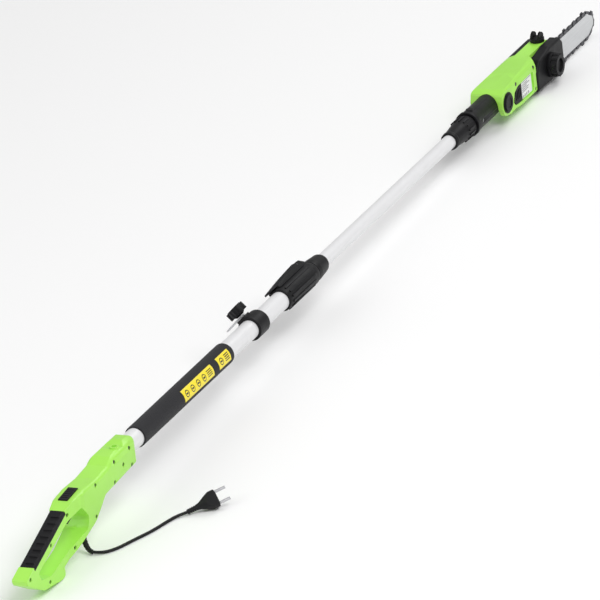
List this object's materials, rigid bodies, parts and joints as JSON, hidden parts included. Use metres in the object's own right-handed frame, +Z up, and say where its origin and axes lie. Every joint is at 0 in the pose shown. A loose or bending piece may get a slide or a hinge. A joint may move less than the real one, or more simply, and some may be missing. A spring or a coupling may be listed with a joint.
{
  "type": "electric pole saw",
  "caption": "Corded telescoping pole saw with a rear loop handle, foam-sleeved pole, lever lock, tilting motor head, guide bar and chain.",
  "frame": {"origin": "on the floor under the middle of the tool's box, without the cord", "axes": "+X along the tool towards the saw bar, +Y to the user's left, +Z up; the tool lies upright on its handle loop and gear case"},
  "size_m": [2.273, 0.2175, 0.118],
  "materials": {
    "green": "satin moulded",
    "black": "fine grain",
    "soft_black": "matte soft touch",
    "foam": "closed-cell foam",
    "white_tube": "powder coat",
    "yellow_label": "printed film",
    "plate_white": "film",
    "zinc_steel": "zinc plated",
    "dark_steel": "blackened",
    "bar_steel": "ground",
    "lamination": "lacquered",
    "nylon": "natural",
    "cord_black": "matte"
  },
  "bodies": {
    "handle_and_pole": {"handle_shell_right": "green", "handle_shell_left": "green", "handle_screws": "dark_steel", "grip_overmould": "soft_black", "trigger_pin": "zinc_steel", "switch_module": "black", "cord_clamp": "black", "outer_tube": "white_tube", "foam_sleeve": "foam", "sleeve_label_long": "yellow_label", "sleeve_label_short": "yellow_label", "strap_collar": "black", "lock_sleeve": "black", "lever_pin": "zinc_steel", "lock_front_cap": "black", "straight_lead": "cord_black", "strain_relief": "soft_black", "supply_cord": "cord_black", "plug_body": "cord_black", "plug_pins": "zinc_steel"},
    "trigger": {"trigger": "black"},
    "lock_off_button": {"lock_off_button": "black"},
    "strap_knob": {"strap_knob": "black", "strap_bolt": "zinc_steel"},
    "strap_ring": {"strap_ring": "zinc_steel"},
    "clamp_lever": {"clamp_lever": "black"},
    "brake_shoe": {"brake_shoe": "soft_black"},
    "inner_pole": {"inner_tube": "white_tube", "tube_bush": "nylon", "coiled_lead": "cord_black", "joint_body": "black", "joint_screw": "zinc_steel", "pivot_bolt": "zinc_steel"},
    "coupling_nut": {"coupling_nut": "black"},
    "head": {"pivot_ring": "black", "pivot_cap": "black", "head_shell_right": "green", "head_shell_left": "green", "head_screws": "dark_steel", "vent_grille_right": "black", "vent_grille_left": "black", "rating_plate": "plate_white", "motor_stator": "lamination", "motor_bearings": "zinc_steel", "bearing_carriers": "black", "sprocket_bearings": "zinc_steel", "gear_case": "black", "sprocket_cover": "black", "bar_stud": "zinc_steel", "guide_bar": "bar_steel", "saw_chain": "dark_steel"},
    "pivot_button": {"pivot_button": "black"},
    "motor_rotor": {"motor_armature": "lamination", "cooling_fan": "black", "bevel_pinion": "dark_steel"},
    "sprocket_train": {"bevel_gear": "dark_steel", "sprocket_shaft": "zinc_steel", "drive_sprocket": "dark_steel"},
    "oil_cap": {"oil_cap": "black"},
    "cover_knob": {"cover_knob": "black"}
  },
  "joints": [
    {"name": "trigger_pull", "type": "hinge", "parent": "handle_and_pole", "child": "trigger", "pos_m": [-0.94326, 0.00192, 0.09419], "axis": [0, 1, 0], "range_deg": [0, 6], "stiffness_Nm_per_rad": 0.6, "springref_deg": -4.58},
    {"name": "lock_off_press", "type": "slide", "parent": "handle_and_pole", "child": "lock_off_button", "axis": [-0.0344, 0, -0.9994], "range_m": [0, 0.0028], "stiffness_N_per_m": 300, "springref_m": -0.003},
    {"name": "strap_knob_turn", "type": "hinge", "parent": "handle_and_pole", "child": "strap_knob", "pos_m": [-0.24667, 0.02596, 0.09926], "axis": [0.0243, 0.7071, 0.7067], "range_deg": [-90, 1080]},
    {"name": "strap_ring_swing", "type": "hinge", "parent": "handle_and_pole", "child": "strap_ring", "pos_m": [-0.2469, 0.01924, 0.09255], "axis": [0.0243, 0.7071, 0.7067], "continuous": true},
    {"name": "clamp_lever_open", "type": "hinge", "parent": "handle_and_pole", "child": "clamp_lever", "pos_m": [-0.04602, 0.01924, 0.08563], "axis": [-0.0243, 0.7071, -0.7067], "range_deg": [0, 75]},
    {"name": "brake_shoe_lift", "type": "slide", "parent": "handle_and_pole", "child": "brake_shoe", "axis": [0.0243, 0.7071, 0.7067], "range_m": [0, 0.0004]},
    {"name": "pole_telescope", "type": "slide", "parent": "handle_and_pole", "child": "inner_pole", "axis": [0.9994, 0, -0.0344], "range_m": [-0.525, 0.16]},
    {"name": "coupling_nut_turn", "type": "hinge", "parent": "inner_pole", "child": "coupling_nut", "pos_m": [0.59201, 0.00192, 0.04632], "axis": [0.9994, 0, -0.0344], "range_deg": [-20, 540]},
    {"name": "head_tilt", "type": "hinge", "parent": "inner_pole", "child": "head", "pos_m": [0.73892, 0.00192, 0.04126], "axis": [0, 1, 0], "range_deg": [0, 60]},
    {"name": "pivot_button_press", "type": "slide", "parent": "head", "child": "pivot_button", "axis": [0, 1, 0], "range_m": [0, 0.0028], "stiffness_N_per_m": 600, "springref_m": -0.003},
    {"name": "motor_spin", "type": "hinge", "parent": "head", "child": "motor_rotor", "pos_m": [0.79888, 0.00192, 0.03919], "axis": [0.9994, 0, -0.0344], "continuous": true},
    {"name": "sprocket_spin", "type": "hinge", "parent": "head", "child": "sprocket_train", "pos_m": [0.88283, 0.00192, 0.0363], "axis": [0, 1, 0], "continuous": true},
    {"name": "oil_cap_turn", "type": "hinge", "parent": "head", "child": "oil_cap", "pos_m": [0.94497, 0.00192, 0.06818], "axis": [0.0344, 0, 0.9994], "range_deg": [0, 360]},
    {"name": "cover_knob_turn", "type": "hinge", "parent": "head", "child": "cover_knob", "pos_m": [0.91976, -0.03808, 0.03352], "axis": [0, -1, 0], "range_deg": [-30, 1080]}
  ],
  "couplings": [
    {"joint": "sprocket_spin", "follows": "motor_spin", "ratio": 0.5},
    {"joint": "brake_shoe_lift", "follows": "clamp_lever_open", "m_per_rad": 0.00030527}
  ]
}
